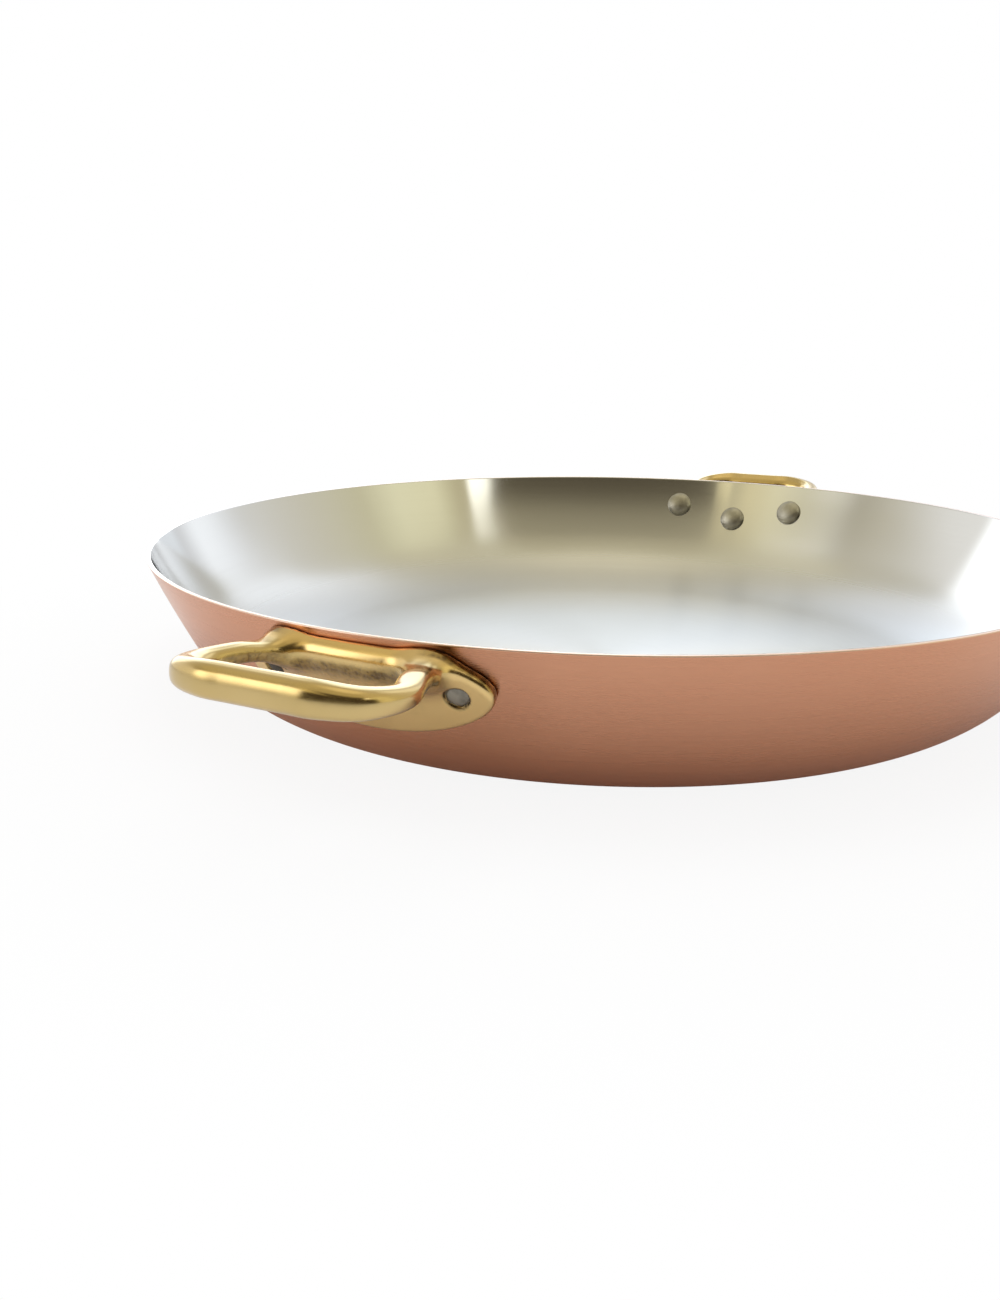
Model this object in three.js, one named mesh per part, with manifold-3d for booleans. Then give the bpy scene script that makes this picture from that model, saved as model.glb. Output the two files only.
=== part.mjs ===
// Shallow round paella pan: a copper shell with a bonded stainless lining, and two cast brass loop
// handles, each held by three rivets. Millimetres, +Z up. The origin is the centre of the base's
// underside, and the handles stand out along the X axis.

import * as THREE from "three";
import { mergeVertices, toCreasedNormals } from "three/addons/utils/BufferGeometryUtils.js";
import Module from "manifold-3d";

// Pan body
const RIM_DIAMETER = 350;
const PAN_HEIGHT = 52.5;
const RIM_FLARE_DEG = 23; // lean of the wall from the vertical at the rim
const WALL_CURVE = 400; // outside radius of the wall's shallow curve
const CORNER_RADIUS = 40; // outside, between base and wall
const COPPER_THICKNESS = 1.25;
const LINING_THICKNESS = 0.2;
const BOND_LINE = 0.05; // between copper and lining

// Handle plate, measured on the wall: widths along the arc, drops below the rim
const EAR_REACH = 8.5; // how far each ear reaches past the middle of the loop's arm
const PLATE_HEIGHT = 26;
const PLATE_THICKNESS = 4;
const PLATE_DROP = 2.2; // from the rim down to the plate's top edge
const PLATE_TOP_LENGTH = 42; // straight stretch of the top edge
const EAR_DROP = 11; // from the top edge down to the ear's tip
const SHOULDER_FULLNESS = 0.25; // how far the top edge runs on before it turns down into the ear
const EAR_RISE_FULLNESS = 0.55; // how far the ear's tip runs up before it turns in
const EAR_FALL_FULLNESS = 0.45; // how far the ear's tip runs down before it turns in
const BELLY_FULLNESS = 0.58; // how far the lower edge runs level from its middle
const TOP_EDGE_ROUND = 2.4;
const LOWER_EDGE_ROUND = 1.3;
const LIP_THICKNESS = 5.6; // top lip between the arms
const LIP_HEIGHT = 4;
const LIP_LENGTH = 42;
const LIP_FADE = 6.5; // at each end of the lip
const LIP_COVE = 5; // hollow that runs from the lip down to the plate's face

// Handle loop
const LOOP_REACH = 37; // from the rim to the middle of the front bar
const LOOP_WIDTH = 62; // between the middles of the two arms, where they are widest apart
const LOOP_CORNER = 14;
const BAR_HEIGHT = 9.6;
const BAR_DEPTH = 9;
const BAR_DROP = 4.8; // from the rim down to the middle of the bar
const BAR_FULL_LENGTH = 26; // middle stretch of the bar that keeps its full section
const BAR_TAPER = 34; // along the loop, from the full section to the arm's section
const ARM_HEIGHT = 5.6;
const ARM_WIDTH = 8;
const ARM_DROP = 6.2;
const BAR_SQUARENESS = 2; // 2 is an ellipse, and more is squarer
const ARM_SQUARENESS = 2.6;
const ROOT_SPACING = 45; // between the middles of the arms' roots
const ROOT_DROP = 6;
const ROOT_DEPTH = 1.5; // where the root starts inside the plate, out from the wall
const ARM_BOW = 0.6; // how much of its spread the arm has gained halfway out
const ROOT_FILLET = 1.8; // how much the root swells where it meets the plate
const ROOT_FILLET_LENGTH = 7;

// Rivets
const RIVET_EDGE = 10; // from the ear's tip in to the middle of an upper rivet
const UPPER_RIVET_DROP = 13.2;
const LOWER_RIVET_DROP = 18.6;
const SHANK_DIAMETER = 6;
const TAIL_DIAMETER = 6.8; // peened end, set into the plate's face
const COUNTERSINK_DEPTH = 1.2;
const TAIL_CROWN = 0.6;
const HEAD_DIAMETER = 12;
const HEAD_HEIGHT = 3.2;
const HEAD_EDGE = 0.6; // straight side of the head below its dome
const CUT_OVERSHOOT = 3; // how far a rivet hole is cut past the sheet and the plate

// Clearance between pieces that are fitted to each other
const FIT = 0.3;

// Facets
const PAN_SEGMENTS = 78;
const CORNER_STEPS = 5;
const WALL_STEPS = 2;
const PLATE_STATIONS = 32;
const FACE_ROWS = [0, 0.02, 0.05, 0.09, 0.15, 0.21, 0.27, 0.34, 0.5, 0.7, 0.88, 0.95, 0.985, 1];
const LOOP_STATIONS = 44;
const LOOP_SIDES = 12;
const RIVET_SEGMENTS = 20;
const DOME_STEPS = 4;
const CROWN_STEPS = 2;
const WELD_DISTANCE = 1e-4;
const CREASE_ANGLE = THREE.MathUtils.degToRad(32);

const rimRadius = RIM_DIAMETER / 2;
const rimFlare = THREE.MathUtils.degToRad(RIM_FLARE_DEG);
const wallCentre = new THREE.Vector2(
  rimRadius - WALL_CURVE * Math.cos(rimFlare),
  PAN_HEIGHT + WALL_CURVE * Math.sin(rimFlare),
);
const sheetThickness = COPPER_THICKNESS + BOND_LINE + LINING_THICKNESS;
const rivetRowHeight = PAN_HEIGHT - UPPER_RIVET_DROP;
const plateWidth = LOOP_WIDTH + 2 * EAR_REACH;
const upperRivetArc = plateWidth / 2 - RIVET_EDGE;
const { lerp, smoothstep, clamp } = THREE.MathUtils;

const wasm = await Module();
wasm.setup();

// Closed meshes

/** The geometry with its shared vertices merged and its empty triangles dropped. */
function weld(geometry) {
  const bare = new THREE.BufferGeometry();
  bare.setAttribute("position", geometry.getAttribute("position"));
  bare.setIndex(geometry.getIndex());
  const merged = mergeVertices(bare, WELD_DISTANCE);
  const corners = merged.getIndex().array;
  const kept = [];
  for (let i = 0; i < corners.length; i += 3) {
    const [a, b, c] = corners.slice(i, i + 3);
    if (a !== b && b !== c && c !== a) kept.push(a, b, c);
  }
  merged.setIndex(kept);
  return merged;
}

function toSolid(geometry) {
  const welded = weld(geometry);
  const vertProperties = Float32Array.from(welded.getAttribute("position").array);
  const triVerts = Uint32Array.from(welded.getIndex().array);
  return new wasm.Manifold(new wasm.Mesh({ numProp: 3, vertProperties, triVerts }));
}

function toGeometry(solid) {
  const { vertProperties, triVerts } = solid.getMesh();
  const geometry = new THREE.BufferGeometry();
  geometry.setAttribute("position", new THREE.BufferAttribute(vertProperties, 3));
  geometry.setIndex(new THREE.BufferAttribute(triVerts, 1));
  return geometry;
}

/** A solid skinned over a row of closed rings with equal point counts, with its ends closed flat. */
function loft(rings) {
  const sides = rings[0].length;
  const points = rings.flat();
  const corners = [];
  for (let row = 0; row < rings.length - 1; row += 1) {
    for (let side = 0; side < sides; side += 1) {
      const here = row * sides + side;
      const next = row * sides + ((side + 1) % sides);
      corners.push(here, here + sides, next, next, here + sides, next + sides);
    }
  }
  const last = (rings.length - 1) * sides;
  for (let side = 1; side < sides - 1; side += 1) {
    corners.push(0, side, side + 1, last, last + side + 1, last + side);
  }
  const geometry = new THREE.BufferGeometry().setFromPoints(points);
  geometry.setIndex(corners);
  return geometry;
}

function namedMesh(name, geometry, look) {
  const mesh = new THREE.Mesh(toCreasedNormals(weld(geometry), CREASE_ANGLE));
  mesh.material = new THREE.MeshStandardMaterial(look);
  mesh.name = name;
  return mesh;
}

// Pan body

/** Lean of the outer wall from the vertical at a height. */
function wallLean(height) {
  return Math.asin((wallCentre.y - height) / WALL_CURVE);
}

/** Outside radius of the wall at a height. */
function wallRadius(height) {
  return wallCentre.x + WALL_CURVE * Math.cos(wallLean(height));
}

/** One side of the sheet, from the axis to the rim, lying a distance inside the outer surface. */
function sheetLine(inset) {
  const footLean = Math.asin((wallCentre.y - CORNER_RADIUS) / (WALL_CURVE - CORNER_RADIUS));
  const cornerCentre = wallCentre.x + (WALL_CURVE - CORNER_RADIUS) * Math.cos(footLean);
  const line = [new THREE.Vector2(0, inset)];
  for (let step = 0; step <= CORNER_STEPS; step += 1) {
    const turn = (Math.PI / 2 - footLean) * (step / CORNER_STEPS);
    const across = cornerCentre + (CORNER_RADIUS - inset) * Math.sin(turn);
    line.push(new THREE.Vector2(across, CORNER_RADIUS - (CORNER_RADIUS - inset) * Math.cos(turn)));
  }
  const curve = WALL_CURVE - inset;
  const rimLean = Math.asin((wallCentre.y - PAN_HEIGHT) / curve);
  for (let step = 1; step <= WALL_STEPS; step += 1) {
    const lean = lerp(footLean, rimLean, step / WALL_STEPS);
    const across = wallCentre.x + curve * Math.cos(lean);
    line.push(new THREE.Vector2(across, wallCentre.y - curve * Math.sin(lean)));
  }
  return line;
}

/** A revolved layer of the sheet between two insets. */
function sheetLayer(outerInset, innerInset) {
  const profile = [...sheetLine(outerInset), ...sheetLine(innerInset).reverse()];
  return new THREE.LatheGeometry(profile, PAN_SEGMENTS).rotateX(Math.PI / 2);
}

// Handle frame: Y points out from the pan's axis through the middle of the handle

/** A point on the wall: along the arc, at a height on the wall, and out along the wall's normal. */
function wallPoint(arc, height, out) {
  const angle = arc / wallRadius(rivetRowHeight);
  const lean = wallLean(height);
  const radius = wallRadius(height) + out * Math.cos(lean);
  const level = height - out * Math.sin(lean);
  return new THREE.Vector3(radius * Math.sin(angle), radius * Math.cos(angle), level);
}

function wallNormal(arc, height) {
  return wallPoint(arc, height, 1).sub(wallPoint(arc, height, 0));
}

/** Upper and lower edge of the plate's outline, each from the left ear's tip to the right one's. */
function plateEdges() {
  const tip = plateWidth / 2;
  const flat = PLATE_TOP_LENGTH / 2;
  const top = PAN_HEIGHT - PLATE_DROP;
  const ear = top - EAR_DROP;
  const bottom = top - PLATE_HEIGHT;
  const shoulder = lerp(flat, tip, SHOULDER_FULLNESS);
  const temple = lerp(ear, top, EAR_RISE_FULLNESS);
  const cheek = lerp(ear, bottom, EAR_FALL_FULLNESS);
  const belly = tip * BELLY_FULLNESS;
  const at = (arc, height) => new THREE.Vector2(arc, height);
  const curve = (...points) => new THREE.CubicBezierCurve(...points);
  const upper = new THREE.CurvePath();
  upper.add(curve(at(-tip, ear), at(-tip, temple), at(-shoulder, top), at(-flat, top)));
  upper.add(new THREE.LineCurve(at(-flat, top), at(flat, top)));
  upper.add(curve(at(flat, top), at(shoulder, top), at(tip, temple), at(tip, ear)));
  const lower = new THREE.CurvePath();
  lower.add(curve(at(-tip, ear), at(-tip, cheek), at(-belly, bottom), at(0, bottom)));
  lower.add(curve(at(0, bottom), at(belly, bottom), at(tip, cheek), at(tip, ear)));
  return { upper, lower };
}

/** How far the rounding of an edge lowers the plate's face at a distance from that edge. */
function edgeFall(distance, round) {
  const inside = round - Math.min(distance, round);
  return round - Math.sqrt(round * round - inside * inside);
}

/** Height of the plate's outer face above the wall. */
function plateFace(arc, fromTop, fromBottom) {
  const along = 1 - smoothstep(Math.abs(arc), LIP_LENGTH / 2, LIP_LENGTH / 2 + LIP_FADE);
  const down = 1 - smoothstep(fromTop, LIP_HEIGHT, LIP_HEIGHT + LIP_COVE);
  const full = lerp(PLATE_THICKNESS, LIP_THICKNESS, along * down);
  return full - edgeFall(fromTop, TOP_EDGE_ROUND) - edgeFall(fromBottom, LOWER_EDGE_ROUND);
}

function plateGeometry() {
  const { upper, lower } = plateEdges();
  const rings = [];
  for (let station = 0; station <= PLATE_STATIONS; station += 1) {
    const along = (1 - Math.cos((Math.PI * station) / PLATE_STATIONS)) / 2;
    const high = upper.getPointAt(along);
    const low = lower.getPointAt(along);
    const height = high.distanceTo(low);
    const ring = [wallPoint(low.x, low.y, FIT), wallPoint(high.x, high.y, FIT)];
    for (const share of FACE_ROWS) {
      const spot = high.clone().lerp(low, share);
      const face = plateFace(spot.x, share * height, (1 - share) * height);
      ring.push(wallPoint(spot.x, spot.y, face));
    }
    rings.push(ring);
  }
  return loft(rings);
}

/** Centre line of the loop, from one root through the front bar to the other root. */
function loopPath() {
  const root = ROOT_SPACING / 2;
  const rootHeight = PAN_HEIGHT - ROOT_DROP;
  const armHeight = PAN_HEIGHT - ARM_DROP;
  const barHeight = PAN_HEIGHT - BAR_DROP;
  const side = LOOP_WIDTH / 2;
  const front = rimRadius + LOOP_REACH;
  const cut = LOOP_CORNER * (1 - Math.SQRT1_2);
  const straight = side - LOOP_CORNER;
  const halfOut = rimRadius + (LOOP_REACH - LOOP_CORNER) / 2;
  const half = [
    wallPoint(root, rootHeight, ROOT_DEPTH),
    wallPoint(root, rootHeight, PLATE_THICKNESS + FIT),
    new THREE.Vector3(lerp(root, side, ARM_BOW), halfOut, armHeight),
    new THREE.Vector3(side, front - LOOP_CORNER, armHeight),
    new THREE.Vector3(side - cut, front - cut, (armHeight + barHeight) / 2),
    new THREE.Vector3(straight, front, barHeight),
    new THREE.Vector3(straight / 2, front, barHeight),
  ];
  const mirrored = half.map((spot) => new THREE.Vector3(-spot.x, spot.y, spot.z));
  const middle = new THREE.Vector3(0, front, barHeight);
  return new THREE.CatmullRomCurve3([...mirrored, middle, ...half.reverse()], false, "centripetal");
}

function loopGeometry() {
  const path = loopPath();
  const length = path.getLength();
  const up = new THREE.Vector3(0, 0, 1);
  const rings = [];
  for (let station = 0; station <= LOOP_STATIONS; station += 1) {
    const share = station / LOOP_STATIONS;
    const centre = path.getPointAt(share);
    const forward = path.getTangentAt(share);
    const across = forward.clone().cross(up).normalize();
    const upright = across.clone().cross(forward).normalize();
    const fromRoot = length * Math.min(share, 1 - share);
    const fromMiddle = length / 2 - fromRoot;
    const bar = 1 - smoothstep(fromMiddle, BAR_FULL_LENGTH / 2, BAR_FULL_LENGTH / 2 + BAR_TAPER);
    const swell = ROOT_FILLET * (1 - clamp(fromRoot / ROOT_FILLET_LENGTH, 0, 1)) ** 2;
    const halfWidth = lerp(ARM_WIDTH, BAR_DEPTH, bar) / 2 + swell;
    const halfHeight = lerp(ARM_HEIGHT, BAR_HEIGHT, bar) / 2 + swell;
    const power = 2 / lerp(ARM_SQUARENESS, BAR_SQUARENESS, bar);
    const squared = (value) => Math.sign(value) * Math.abs(value) ** power;
    const ring = [];
    for (let side = 0; side < LOOP_SIDES; side += 1) {
      const turn = (2 * Math.PI * side) / LOOP_SIDES;
      const spot = centre.clone().addScaledVector(across, halfWidth * squared(Math.cos(turn)));
      ring.push(spot.addScaledVector(upright, halfHeight * squared(Math.sin(turn))));
    }
    rings.push(ring);
  }
  return loft(rings);
}

// Rivets: turned about their own Y axis, which points out along the wall's normal from its surface

/** Places of a handle's three rivets on the wall. */
const rivetSpots = [
  { arc: upperRivetArc, height: rivetRowHeight },
  { arc: -upperRivetArc, height: rivetRowHeight },
  { arc: 0, height: PAN_HEIGHT - LOWER_RIVET_DROP },
];

function rivetGeometry() {
  const seat = -sheetThickness - FIT;
  const headRadius = HEAD_DIAMETER / 2;
  const domeHeight = HEAD_HEIGHT - HEAD_EDGE;
  const profile = [];
  for (let step = 0; step <= DOME_STEPS; step += 1) {
    const turn = (Math.PI / 2) * (step / DOME_STEPS);
    const depth = seat - HEAD_EDGE - domeHeight * Math.cos(turn);
    profile.push(new THREE.Vector2(headRadius * Math.sin(turn), depth));
  }
  profile.push(new THREE.Vector2(headRadius, seat));
  profile.push(new THREE.Vector2(SHANK_DIAMETER / 2, seat));
  profile.push(new THREE.Vector2(SHANK_DIAMETER / 2, PLATE_THICKNESS - COUNTERSINK_DEPTH));
  for (let step = CROWN_STEPS; step >= 0; step -= 1) {
    const share = step / CROWN_STEPS;
    const level = PLATE_THICKNESS - TAIL_CROWN * share * share;
    profile.push(new THREE.Vector2((TAIL_DIAMETER / 2) * share, level));
  }
  return new THREE.LatheGeometry(profile, RIVET_SEGMENTS);
}

/** The room cut for a rivet through lining, copper and plate, with a countersink for its tail. */
function rivetHole() {
  const hole = SHANK_DIAMETER / 2 + FIT;
  const mouth = TAIL_DIAMETER / 2 + FIT;
  const inside = -sheetThickness - CUT_OVERSHOOT;
  const outside = PLATE_THICKNESS + CUT_OVERSHOOT;
  const profile = [
    new THREE.Vector2(0, inside),
    new THREE.Vector2(hole, inside),
    new THREE.Vector2(hole, PLATE_THICKNESS - COUNTERSINK_DEPTH - FIT),
    new THREE.Vector2(mouth, PLATE_THICKNESS - TAIL_CROWN - FIT),
    new THREE.Vector2(mouth, outside),
    new THREE.Vector2(0, outside),
  ];
  return new THREE.LatheGeometry(profile, RIVET_SEGMENTS);
}

/** Puts an object that is turned about Y on the wall, with its Y axis along the wall's normal. */
function seatOnWall(object, spot) {
  object.position.copy(wallPoint(spot.arc, spot.height, 0));
  object.quaternion.setFromUnitVectors(new THREE.Vector3(0, 1, 0), wallNormal(spot.arc, spot.height));
  object.updateMatrix();
  return object;
}

/** The three rivet holes of one handle, as solids in the handle's frame. */
function rivetHoles() {
  return rivetSpots.map((spot) => {
    const { matrix } = seatOnWall(new THREE.Object3D(), spot);
    return rivetHole().applyMatrix4(matrix);
  });
}

function handleGeometry() {
  let handle = toSolid(plateGeometry()).add(toSolid(loopGeometry()));
  for (const hole of rivetHoles()) handle = handle.subtract(toSolid(hole));
  return toGeometry(handle);
}

// Assembly

const copperLook = { color: 0xb98467, roughness: 0.32, metalness: 1 };
const steelLook = { color: 0xc4c2ba, roughness: 0.35, metalness: 1 };
const brassLook = { color: 0xc9ac62, roughness: 0.22, metalness: 1 };
const rivetLook = { color: 0x9c9c98, roughness: 0.4, metalness: 1 };

/** Handle sides and the turn that carries the handle frame's Y axis to them. */
const handleSides = [
  { side: "left", turn: Math.PI / 2 },
  { side: "right", turn: -Math.PI / 2 },
];

/** Where a rivet sits on its handle, seen with the front of the pan towards -Y. */
function rivetPlace(spot, turn) {
  if (spot.arc === 0) return "lower";
  return spot.arc * turn > 0 ? "back" : "front";
}

/** A layer of the sheet with all rivet holes cut through it. */
function drilledLayer(outerInset, innerInset) {
  let layer = toSolid(sheetLayer(outerInset, innerInset));
  for (const { turn } of handleSides) {
    for (const hole of rivetHoles()) layer = layer.subtract(toSolid(hole.rotateZ(turn)));
  }
  return toGeometry(layer);
}

const pan = new THREE.Group();
pan.add(namedMesh("copper_shell", drilledLayer(0, COPPER_THICKNESS), copperLook));
const liningInset = COPPER_THICKNESS + BOND_LINE;
pan.add(namedMesh("steel_lining", drilledLayer(liningInset, sheetThickness), steelLook));
for (const { side, turn } of handleSides) {
  const group = new THREE.Group();
  group.rotation.z = turn;
  group.add(namedMesh(`handle_${side}`, handleGeometry(), brassLook));
  for (const spot of rivetSpots) {
    const rivet = namedMesh(`rivet_${side}_${rivetPlace(spot, turn)}`, rivetGeometry(), rivetLook);
    group.add(seatOnWall(rivet, spot));
  }
  pan.add(group);
}

export default pan;
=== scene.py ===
"""Looks of the paella pan: brushed copper, satin steel lining, cast brass handles and steel rivets."""

from math import cos, pi, radians, sin
from typing import NamedTuple

import bpy
import numpy as np
from mathutils import Matrix, Vector


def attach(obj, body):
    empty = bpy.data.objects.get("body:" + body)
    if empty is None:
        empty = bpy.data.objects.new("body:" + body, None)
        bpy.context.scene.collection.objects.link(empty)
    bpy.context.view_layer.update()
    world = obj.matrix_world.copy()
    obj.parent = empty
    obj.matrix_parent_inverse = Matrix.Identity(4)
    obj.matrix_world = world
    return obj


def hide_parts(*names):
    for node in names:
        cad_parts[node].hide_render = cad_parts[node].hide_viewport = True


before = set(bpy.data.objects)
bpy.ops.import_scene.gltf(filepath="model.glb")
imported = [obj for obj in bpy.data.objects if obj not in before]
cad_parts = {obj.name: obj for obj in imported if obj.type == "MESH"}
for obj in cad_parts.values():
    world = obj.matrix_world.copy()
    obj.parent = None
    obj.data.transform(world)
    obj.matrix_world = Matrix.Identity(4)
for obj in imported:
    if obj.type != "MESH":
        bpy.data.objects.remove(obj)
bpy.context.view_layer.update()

MM = 0.001

# Sizes of the pan in millimetres, as in the part's source
RIM_RADIUS = 175.0
PAN_HEIGHT = 52.5
RIM_FLARE = radians(23.0)
WALL_CURVE = 400.0
CORNER_RADIUS = 40.0
COPPER_THICKNESS = 1.25
LINING_THICKNESS = 0.2
BOND_LINE = 0.05
SHEET = COPPER_THICKNESS + BOND_LINE + LINING_THICKNESS
FIT = 0.3

# Rounds of the two sheets' edges at the rim
COPPER_OUTER_ROUND = 0.35
COPPER_INNER_ROUND = 0.05
LINING_OUTER_ROUND = 0.02
LINING_INNER_ROUND = 0.1
EASE_BULGE = 1.1

# Handle plate, as in the part's source
EAR_REACH = 8.5
PLATE_HEIGHT = 26.0
PLATE_THICKNESS = 4.0
PLATE_DROP = 2.2
PLATE_TOP_LENGTH = 42.0
EAR_DROP = 11.0
SHOULDER_FULLNESS = 0.25
EAR_RISE_FULLNESS = 0.55
EAR_FALL_FULLNESS = 0.45
BELLY_FULLNESS = 0.58
TOP_EDGE_ROUND = 2.4
LOWER_EDGE_ROUND = 1.3
LIP_THICKNESS = 5.6
LIP_LENGTH = 42.0
LIP_FADE = 6.5

# The lip's finer form, softer than in the source, and where the edge's round changes below the top
LIP_HEIGHT = 2.0
LIP_COVE = 13.0
LIP_ROUND = 6.5
EDGE_CHANGE = (6.0, 14.0)

# Handle loop, as in the part's source
LOOP_REACH = 37.0
LOOP_WIDTH = 62.0
LOOP_CORNER = 14.0
BAR_HEIGHT = 9.6
BAR_DEPTH = 9.0
BAR_DROP = 4.8
BAR_FULL_LENGTH = 26.0
BAR_TAPER = 34.0
ARM_HEIGHT = 5.6
ARM_WIDTH = 8.0
ARM_DROP = 6.2
ARM_SQUARENESS = 2.6
ROOT_SPACING = 45.0
ROOT_DROP = 6.0
ROOT_DEPTH = 1.5
ARM_BOW = 0.6
PLATE_WIDTH = LOOP_WIDTH + 2 * EAR_REACH

# The loop's finer form: a flatter top, a broad front and larger fillets than in the source
BAR_FRONT_RADIUS = 9.7
BAR_TOP_RADIUS = 14.0
BAR_EDGE_ROUND = 1.7
BAR_INNER_ROUND = 4.2
BAR_ROUND_CHANGE = 2.0
BAR_WIDEST_DROP = 0.85
ROOT_FILLET = 8.0

# Rivets
RIVET_EDGE = 10.0
UPPER_RIVET_DROP = 13.2
LOWER_RIVET_DROP = 18.6
SHANK_RADIUS = 3.0
TAIL_RADIUS = 3.4
TAIL_CROWN = 0.6
TAIL_SHOULDER = 0.1
TAIL_ROUND = 0.25
TAIL_ROUND_START = 0.8
HEAD_RADIUS = 6.0
HEAD_HEIGHT = 3.2
HEAD_EDGE = 0.6
HEAD_UNDERCUT = 0.15
HEAD_GAP = 0.02
RECESS_GAP = 0.12
RECESS_DEPTH = 0.8

# Where the casting is rough and brown, and where shade or light is painted on it. A pair is where a share
# starts to change and where it has changed.
HOLLOW_SIDES = (17.0, 23.0)
HOLLOW_TOP = (3.0, 5.0)
HOLLOW_MIDDLE = (6.5, 10.0)
HOLLOW_LOSS = 0.8
HOLLOW_FOOT = (15.0, 20.0)
HOLLOW_FRONT = (LIP_THICKNESS - 0.2, LIP_THICKNESS + 4.0)
# The arms' inner sides near their roots: rough casting with painted shade
ROUGH_SHADED_ARM = 0.7
ROUGH_ARM_ALONG = (38.0, 48.0)
ROUGH_ARM_OUT = (LIP_THICKNESS, LIP_THICKNESS + 3.0)
ROUGH_ARM_INWARD = (0.2, 0.7)
ROUGH_ARM_ABOVE = (0.1, 0.6)
GRIME_ARC = -14.0
GRIME_DROP = 5.5
GRIME_LENGTH = 7.0
GRIME_HEIGHT = 4.0
GRIME_TOP = (1.5, 4.0)
GRIME_ROUGHNESS = 0.9
HOLLOW_GRIME = 0.35
# Painted shade along the plate's edge where it meets the wall
EDGE_SHADE_OUT = (2.6, 3.7)
EDGE_SHADE_SIDES = (19.0, 26.0)
# Painted shade in the recesses round the rivet tails
RECESS_SHADE = (TAIL_RADIUS + 0.1, TAIL_RADIUS + 0.6)
# How far out the plate's face is painted lighter
LIT_PLATE_FACE = (PLATE_THICKNESS + 0.4, PLATE_THICKNESS + 2.0)
# Marks on the rivet tails: plain, and painted shade on the back tails
PLAIN_TAIL = 1.0
SHADED_TAIL = 2.0

# Fineness of the meshes
PAN_SEGMENTS = 384
RIVET_SEGMENTS = 64
HEAD_STEPS = 14
TAIL_STEPS = 12
EASE_POINTS = 5
HANDLE_STEP = 0.45

# The handle's grid: the radius where it starts, and the room that it leaves round the handle
GRID_START = 150.0
GRID_SIDE = 3.0
GRID_BELOW = 6.0
GRID_ABOVE = 2.0
GRID_AHEAD = 2.0

# The flat grid for the plate's outline
TABLE_STEP = 0.25
TABLE_ARCS = (-50.0, 50.0)
TABLE_SLOPES = (18.0, 66.0)

# Lengths over which the shading turns at the rim and from wall to base, and how they are averaged
RIM_EASE = 0.15
CORNER_EASE = 9.0
EASE_SAMPLES = 21
EASE_FLOOR = 0.01

# Limits in the sums: a radius on the axis, a level edge, a divisor, a section's core, spots in one go
ON_AXIS = 1e-9
LEVEL = 1e-12
TINY = 1e-6
SECTION_CORE = 0.2
SPOTS_AT_ONCE = 20000

RIVET_ROW = PAN_HEIGHT - UPPER_RIVET_DROP
HANDLE_TURNS = {"left": radians(90), "right": radians(-90)}


def smoothstep(value, low, high):
    share = np.clip((value - low) / (high - low), 0, 1)
    return share * share * (3 - 2 * share)


def mix(start, end, share):
    return start + (end - start) * share


# Meshes


def add_piece(name, points, faces, node, normals=None):
    """A smooth mesh piece, given in millimetres, that stands for a CAD node."""
    mesh = bpy.data.meshes.new(name)
    mesh.from_pydata((np.asarray(points) * MM).tolist(), [], faces)
    mesh.validate()
    mesh.polygons.foreach_set("use_smooth", np.ones(len(mesh.polygons), bool))
    if normals is not None:
        mesh.normals_split_custom_set_from_vertices(normals.tolist())
    mesh.update()
    piece = bpy.data.objects.new(name, mesh)
    bpy.context.scene.collection.objects.link(piece)
    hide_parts(node)
    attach(piece, "root")
    return piece


def revolve(profile, segments):
    """Points and faces of a closed profile (radius, height) turned about Z. Radius 0 gives one point."""
    rings = []
    points = []
    turns = np.arange(segments) * (2 * pi / segments)
    for radius, height in profile:
        start = len(points)
        if radius < ON_AXIS:
            points.append((0.0, 0.0, height))
            rings.append([start] * segments)
            continue
        points.extend((radius * cos(t), radius * sin(t), height) for t in turns)
        rings.append(list(range(start, start + segments)))
    faces = []
    for lower, upper in zip(rings, rings[1:]):
        for side in range(segments):
            after = (side + 1) % segments
            face = [lower[side], lower[after], upper[after], upper[side]]
            face = [corner for i, corner in enumerate(face) if corner not in face[:i]]
            if len(face) > 2:
                faces.append(face)
    return np.array(points), faces


# Pan body


WALL_CENTRE = (RIM_RADIUS - WALL_CURVE * cos(RIM_FLARE), PAN_HEIGHT + WALL_CURVE * sin(RIM_FLARE))


def wall_lean(height):
    """Lean of the outer wall from the vertical at a height. The wall is a shallow arc."""
    return np.arcsin((WALL_CENTRE[1] - height) / WALL_CURVE)


def wall_radius(height):
    return WALL_CENTRE[0] + WALL_CURVE * np.cos(wall_lean(height))


def sheet_line(inset, base_steps=14, corner_steps=26, wall_steps=16):
    """One side of the sheet from the axis to the rim, at an inset from the outer surface."""
    foot = (WALL_CENTRE[1] - CORNER_RADIUS) / (WALL_CURVE - CORNER_RADIUS)
    foot_lean = float(np.arcsin(foot))
    corner_centre = WALL_CENTRE[0] + (WALL_CURVE - CORNER_RADIUS) * cos(foot_lean)
    line = [(corner_centre * step / base_steps, inset) for step in range(base_steps)]
    bend = CORNER_RADIUS - inset
    for turn in np.linspace(0, pi / 2 - foot_lean, corner_steps + 1):
        line.append((corner_centre + bend * sin(turn), CORNER_RADIUS - bend * cos(turn)))
    wall = WALL_CURVE - inset
    rim_lean = float(np.arcsin((WALL_CENTRE[1] - PAN_HEIGHT) / wall))
    for lean in np.linspace(foot_lean, rim_lean, wall_steps + 1)[1:]:
        line.append((WALL_CENTRE[0] + wall * cos(lean), WALL_CENTRE[1] - wall * sin(lean)))
    return line


def rounded_end(line, round_off):
    """The line with its rim end pulled back, so that the edge can be rounded."""
    last, before = np.array(line[-1]), np.array(line[-2])
    along = (last - before) / np.linalg.norm(last - before)
    return line[:-1] + [tuple(last - along * round_off)]


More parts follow.
